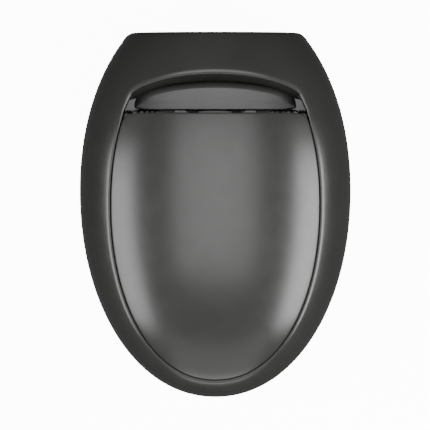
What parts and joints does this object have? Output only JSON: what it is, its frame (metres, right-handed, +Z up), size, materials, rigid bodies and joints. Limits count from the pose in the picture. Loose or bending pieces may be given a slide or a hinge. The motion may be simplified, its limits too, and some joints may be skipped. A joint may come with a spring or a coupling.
{
  "type": "back-to-wall toilet pan with seat and lid",
  "caption": "Back-to-wall floor-standing toilet pan with a flush crowned lid, a soft-close seat beneath it and a hinge cover in an arched recess.",
  "frame": {"origin": "on the floor, at the middle of the object's bounding box", "axes": "+Z up from the floor, +Y towards the wall behind, -Y to the front tip, +X to the right as seen from the front"},
  "size_m": [0.39, 0.524, 0.4429],
  "materials": {
    "glazed_china": "satin graphite glaze",
    "thermoset": "satin graphite moulded thermoset",
    "steel": "satin stainless steel",
    "rubber": "matt black rubber",
    "black_plastic": "matt moulded plastic",
    "pipe_plastic": "white moulded pipe plastic"
  },
  "bodies": {
    "pan_body": {"floor_bracket_left": "steel", "floor_bracket_right": "steel", "floor_screw_left": "steel", "floor_screw_right": "steel", "hinge_cover": "thermoset", "hinge_gasket_left": "rubber", "hinge_gasket_right": "rubber", "hinge_nut_left": "black_plastic", "hinge_nut_right": "black_plastic", "hinge_pin_left": "steel", "hinge_pin_right": "steel", "hinge_post_left": "steel", "hinge_post_right": "steel", "hinge_stud_left": "steel", "hinge_stud_right": "steel", "hinge_washer_left": "steel", "hinge_washer_right": "steel", "inlet_connector": "pipe_plastic", "inlet_seal": "rubber", "outlet_connector": "pipe_plastic", "outlet_seal": "rubber", "pan": "glazed_china", "screw_cap_left": "black_plastic", "screw_cap_right": "black_plastic", "side_screw_left": "steel", "side_screw_right": "steel"},
    "lid_body": {"lid": "thermoset", "lid_buffer_front_left": "rubber", "lid_buffer_front_right": "rubber", "lid_buffer_rear_left": "rubber", "lid_buffer_rear_right": "rubber", "lid_damper": "black_plastic"},
    "seat_body": {"seat": "thermoset", "seat_buffer_front_left": "rubber", "seat_buffer_front_right": "rubber", "seat_buffer_rear_left": "rubber", "seat_buffer_rear_right": "rubber", "seat_damper": "black_plastic"}
  },
  "joints": [
    {"name": "lid_hinge", "type": "hinge", "parent": "pan_body", "child": "lid_body", "pos_m": [0, 0.1415, 0.411], "axis": [-1, 0, 0], "range_deg": [0, 96]},
    {"name": "seat_hinge", "type": "hinge", "parent": "pan_body", "child": "seat_body", "pos_m": [0, 0.1415, 0.411], "axis": [-1, 0, 0], "range_deg": [0, 93.12]}
  ],
  "couplings": [
    {"joint": "seat_hinge", "follows": "lid_hinge", "ratio": 0.97}
  ]
}
